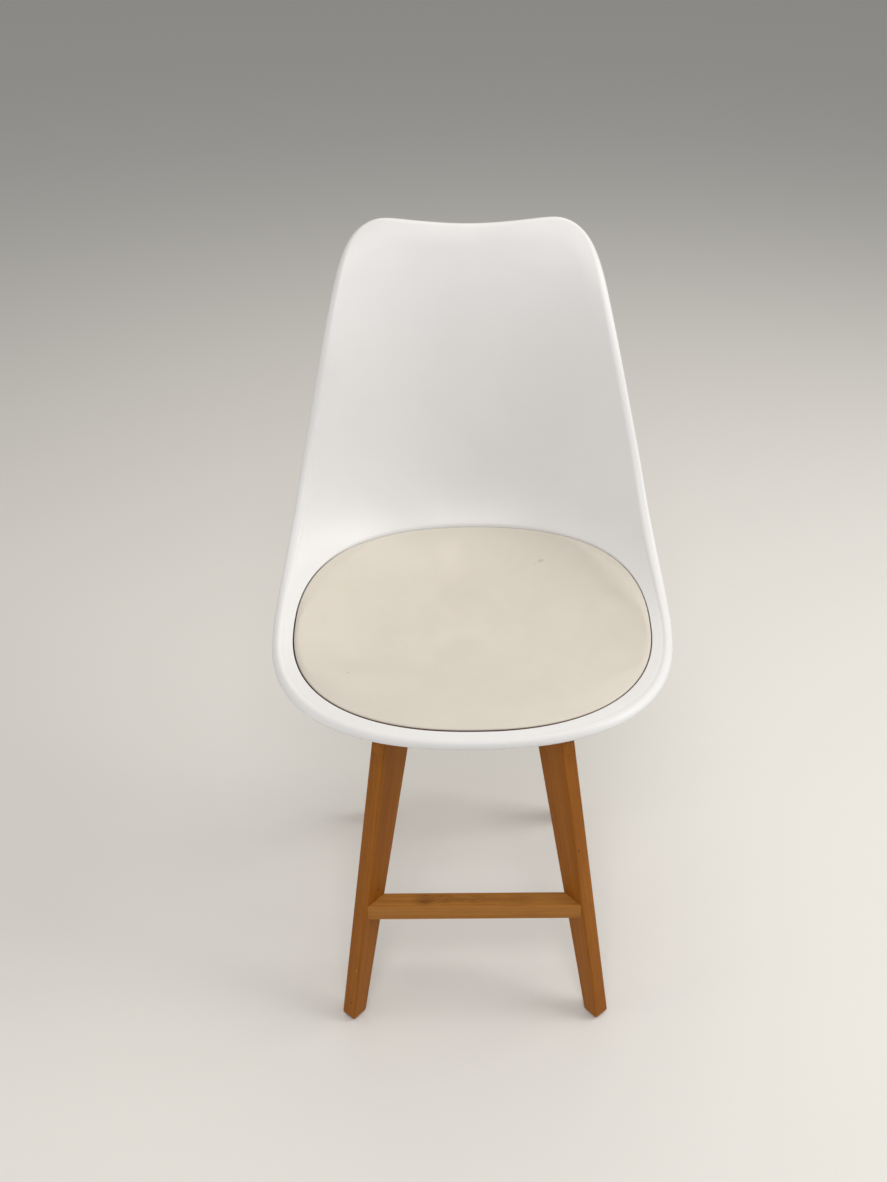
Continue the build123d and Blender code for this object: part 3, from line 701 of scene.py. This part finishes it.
def stained_wood(name, grain, seed, tint, spots=()):
    """Stained beech: growth rings, fibres and short dark rays along the piece, and small marks."""
    look = Look(name)
    space = look.node("ShaderNodeVectorMath", {0: grain.space(look), 1: (seed * 0.37, 0.0, 0.0)},
                      operation="ADD").outputs["Vector"]
    heart = (0.0, 0.031 + seed * 0.004, 0.05)
    rings_space = look.node("ShaderNodeVectorMath", {0: look.stretched((0.12, 1.0, 1.0), space), 1: heart},
                            operation="ADD").outputs["Vector"]
    rings = look.node("ShaderNodeTexWave", {"Vector": rings_space, "Scale": 62.0, "Distortion": 2.4,
                                            "Detail": 3.0, "Detail Scale": 0.6},
                      wave_type="RINGS", rings_direction="X").outputs["Fac"]
    figure = look.noise(1.0, 3.0, 0.5, 0.3, look.stretched((2.2, 42.0, 42.0), space))
    fibres = look.noise(1.0, 5.0, 0.62, 0.1, look.stretched((16.0, 620.0, 620.0), space))
    rays = look.cells(1.0, look.stretched((150.0, 950.0, 950.0), space))
    ray_marks = look.levels(rays, 0.2, 0.12)
    dark, light, ring, fibre = ([c * t for c, t in zip(colour, tint)]
                                for colour in (WOOD_DARK, WOOD_LIGHT, WOOD_RING, WOOD_FIBRE))
    body = look.mixed(look.levels(figure, 0.3, 0.7), tuple(dark), tuple(light))
    lines = look.maths("MULTIPLY", look.levels(rings, 0.25, 0.95), 0.2)
    body = look.mixed(lines, body, tuple(ring))
    strands = look.maths("MULTIPLY", look.levels(fibres, 0.5, 0.72), 0.5)
    body = look.mixed(strands, body, tuple(fibre))
    body = look.mixed(look.maths("MULTIPLY", ray_marks, 0.3), body, WOOD_RAY)
    patchy = look.levels(look.noise(1.0, 4.0, 0.6, 0.2, look.stretched((90.0, 300.0, 300.0), space)),
                         0.35, 0.6, 0.35, 1.0)
    for place, (long, wide), colour, strength in spots:
        mark = look.near(grain.local(place), (long * MM, wide * MM, wide * MM), grain.space(look))
        share = look.maths("MULTIPLY", look.maths("MULTIPLY", mark, strength), patchy)
        body = look.mixed(share, body, colour)
    look.set(colour=body, roughness=look.levels(fibres, 0.3, 0.75, 0.42, 0.54))
    look.set(specular=0.2, specular_tint=(1.0, 0.62, 0.3))
    look.bumped(fibres, 0.00008, 0.5)
    look.bumped(rays, 0.00005, 0.4)
    return look


def plain_wood(name, dark, light, scale):
    """Unstained wood whose fibres run along one axis of the scale."""
    look = Look(name)
    fibres = look.noise(1.0, 4.0, 0.6, 0.2, look.stretched(scale))
    look.set(colour=look.mixed(look.levels(fibres, 0.3, 0.7), dark, light))
    look.set(roughness=look.levels(fibres, 0.3, 0.7, 0.55, 0.7))
    look.bumped(fibres, 0.0001, 0.5)
    return look


def metal(name, dark, light, scale, rough):
    """Plated or turned metal, with fine tool marks and a slightly uneven finish."""
    look = Look(name)
    marks = look.noise(scale, 4.0, 0.65)
    clouds = look.noise(scale / 12, 2.0)
    look.set(colour=look.mixed(look.levels(clouds, 0.3, 0.7), dark, light), metallic=1.0)
    look.set(roughness=look.levels(marks, 0.3, 0.7, rough, rough + 0.16))
    look.bumped(marks, 0.00002, 0.4)
    return look


def moulded(name, dark, light, rough, texture):
    """Dark moulded rubber or nylon."""
    look = Look(name)
    cast = look.noise(texture / 6, 3.0)
    look.set(colour=look.mixed(look.levels(cast, 0.3, 0.7), dark, light))
    look.set(roughness=look.levels(cast, 0.3, 0.7, rough, rough + 0.12))
    look.bumped(look.noise(texture, 3.0), 0.00004, 0.5)
    return look


def outward(corner):
    """The level direction in which a leg points away from the frame's middle."""
    return Vector((corner[0] * math.sin(LEG_ANGLE), corner[1] * math.cos(LEG_ANGLE), 0))


def leg_grain(corner):
    away = outward(corner)
    foot = (Vector((0, FRAME_Y, 0)) + away * FOOT_RADIUS) * MM
    return Grain(foot, Vector((0, 0, 1)) - away * LEG_LEAN, away)


def on_leg(corner, radius, sideways, z):
    away = outward(corner)
    across = away.cross(Vector((0, 0, 1)))
    return (Vector((0, FRAME_Y, z)) + away * radius + across * sideways) * MM


def dress_wood():
    """Each board gets wood of its own, with the grain along it."""
    for seed, (name, corner) in enumerate(CORNERS.items()):
        spots = [(on_leg(corner, *place), *rest) for place, *rest in LEG_SPOTS.get(name, ())]
        look = stained_wood(name + "_leg_wood", leg_grain(corner), seed, LEG_TINT, spots)
        dress(NODES[name + "_leg"], look)
    middle = Vector((0, FRAME_Y * MM, 0))
    for seed, (name, corner) in enumerate((("lower", (-1, -1)), ("upper", (1, -1)))):
        grain = Grain(middle, outward(corner), (0, 0, 1))
        dress(NODES[name + "_cross_rail"], stained_wood(name + "_rail_wood", grain, seed + 4, RAIL_TINT))
    for seed, name in enumerate(("front", "rear")):
        low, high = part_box(name + "_stretcher")
        grain = Grain((low + high) / 2, (1, 0, 0), (0, 0, 1))
        spots = [(Vector(place) * MM, *rest) for place, *rest in STRETCHER_SPOTS.get(name, ())]
        look = stained_wood(name + "_stretcher_wood", grain, seed + 6, STRETCHER_TINT, spots)
        dress(NODES[name + "_stretcher"], look)
    plug_grain = Grain(middle, (0, 0, 1), (1, 0, 0))
    dress(NODES["bolt_plugs"], stained_wood("plug_wood", plug_grain, 8, LEG_TINT))
    dowels = plain_wood("dowel_beech", (0.42, 0.27, 0.14), (0.55, 0.38, 0.21), (300.0, 300.0, 120.0))
    for name in ("rail_dowels", "stretcher_dowels"):
        dress(NODES[name], dowels)
    plies = plain_wood("birch_ply", (0.4, 0.26, 0.13), (0.6, 0.44, 0.26), (8.0, 60.0, 700.0))
    dress(NODES["cushion_board"], plies)


def dress_hardware():
    zinc = metal("zinc_plate", (0.52, 0.53, 0.55), (0.62, 0.62, 0.62), 900.0, 0.26)
    for name in ("leg_bolts", "leg_washers", "barrel_nuts", "shell_bolts", "shell_washers", "lap_screw",
                 "cushion_screws", "cushion_inserts", "cover_staples", "glide_nails"):
        dress(NODES[name], zinc)
    brass = metal("turned_brass", (0.55, 0.36, 0.1), (0.66, 0.45, 0.15), 1200.0, 0.22)
    dress(NODES["shell_inserts"], brass)
    rubber = moulded("black_rubber", (0.012, 0.012, 0.012), (0.024, 0.023, 0.022), 0.62, 1400.0)
    dress(NODES["shell_spacers"], rubber)
    nylon = moulded("black_nylon", (0.012, 0.012, 0.013), (0.022, 0.022, 0.024), 0.42, 900.0)
    for name in CORNERS:
        dress(NODES[name + "_glide"], nylon)


# ---- Stage, light and camera --------------------------------------------------------

# Where the eye is, in metres, and how far it looks down and tilts. FOCUS and MIDDLE_OFFSET are
# lengths on a scale where the picture is PICTURE_HIGH high.
EYE = Vector((0.0, -1.255, 1.296))
EYE_PITCH = math.radians(33.47)
EYE_ROLL = math.radians(-0.42)
PICTURE_HIGH = 1182
FOCUS = 1254.0
MIDDLE_OFFSET = -28.5


def add_camera():
    data = bpy.data.cameras.new("camera")
    data.sensor_width = 36.0
    data.lens = data.sensor_width * FOCUS / PICTURE_HIGH
    data.shift_x = MIDDLE_OFFSET / PICTURE_HIGH
    camera = bpy.data.objects.new("camera", data)
    bpy.context.scene.collection.objects.link(camera)
    tilt = Matrix.Rotation(math.pi / 2 - EYE_PITCH, 4, "X") @ Matrix.Rotation(EYE_ROLL, 4, "Z")
    camera.matrix_world = Matrix.Translation(EYE) @ tilt
    bpy.context.scene.camera = camera


# Soft area lights, all aimed at one point: place and size in metres, power in watts, colour.
LIGHT_TARGET = (0, 0, 0.5)
LIGHTS = {
    "front_high": ((0, -2.0, 2.6), (1.2, 1.2), 25.5, (1.0, 0.98, 1.0)),
    "right_high": ((2.2, -0.3, 2.2), (1.2, 1.2), 24.3, (1.0, 0.99, 0.96)),
    "top": ((0, 0, 2.8), (2.0, 2.0), 15.0, (1.0, 0.95, 0.84)),
    "top_back": ((0, 1.6, 2.4), (1.6, 1.6), 8.3, (1.0, 0.92, 0.84)),
    "right": ((2.2, 0.2, 1.2), (1.6, 1.6), 11.0, (1.0, 0.98, 0.98)),
    "low_left": ((-1.9, -0.7, 0.45), (1.0, 0.6), 5.0, (1.0, 0.97, 0.93)),
}
ROOM_LIGHT = 0.3


def add_light():
    """A dim even room, and the area lights."""
    world = bpy.data.worlds.new("studio")
    bpy.context.scene.world = world
    world.use_nodes = True
    back = world.node_tree.nodes["Background"]
    back.inputs["Color"].default_value = (1.0, 1.0, 1.0, 1.0)
    back.inputs["Strength"].default_value = ROOM_LIGHT
    for name, (place, size, power, colour) in LIGHTS.items():
        data = bpy.data.lights.new(name, "AREA")
        data.shape = "RECTANGLE"
        data.size, data.size_y = size
        data.energy = power
        data.color = colour
        light = bpy.data.objects.new(name, data)
        bpy.context.scene.collection.objects.link(light)
        light.location = place
        towards = Vector(LIGHT_TARGET) - Vector(place)
        light.rotation_euler = towards.to_track_quat("-Z", "Y").to_euler()


def add_floor():
    """A wide plain floor, staged so that it is not part of the chair."""
    size = 40.0
    verts = [(-size, -size, 0), (size, -size, 0), (size, size, 0), (-size, size, 0)]
    mesh = bpy.data.meshes.new("floor")
    mesh.from_pydata(verts, [], [(0, 1, 2, 3)])
    floor = bpy.data.objects.new("floor", mesh)
    bpy.context.scene.collection.objects.link(floor)
    material = bpy.data.materials.new("floor_matt")
    material.use_nodes = True
    shader = material.node_tree.nodes["Principled BSDF"]
    shader.inputs["Base Color"].default_value = (0.8, 0.785, 0.745, 1)
    shader.inputs["Roughness"].default_value = 0.9
    floor.data.materials.append(material)


shell = build_shell()
foam_block = build_pad()
dress(shell, white_plastic())
dress(foam_block, foam())
dress_wood()
dress_hardware()
add_camera()
add_light()
add_floor()
bpy.context.scene.view_settings.view_transform = "Standard"
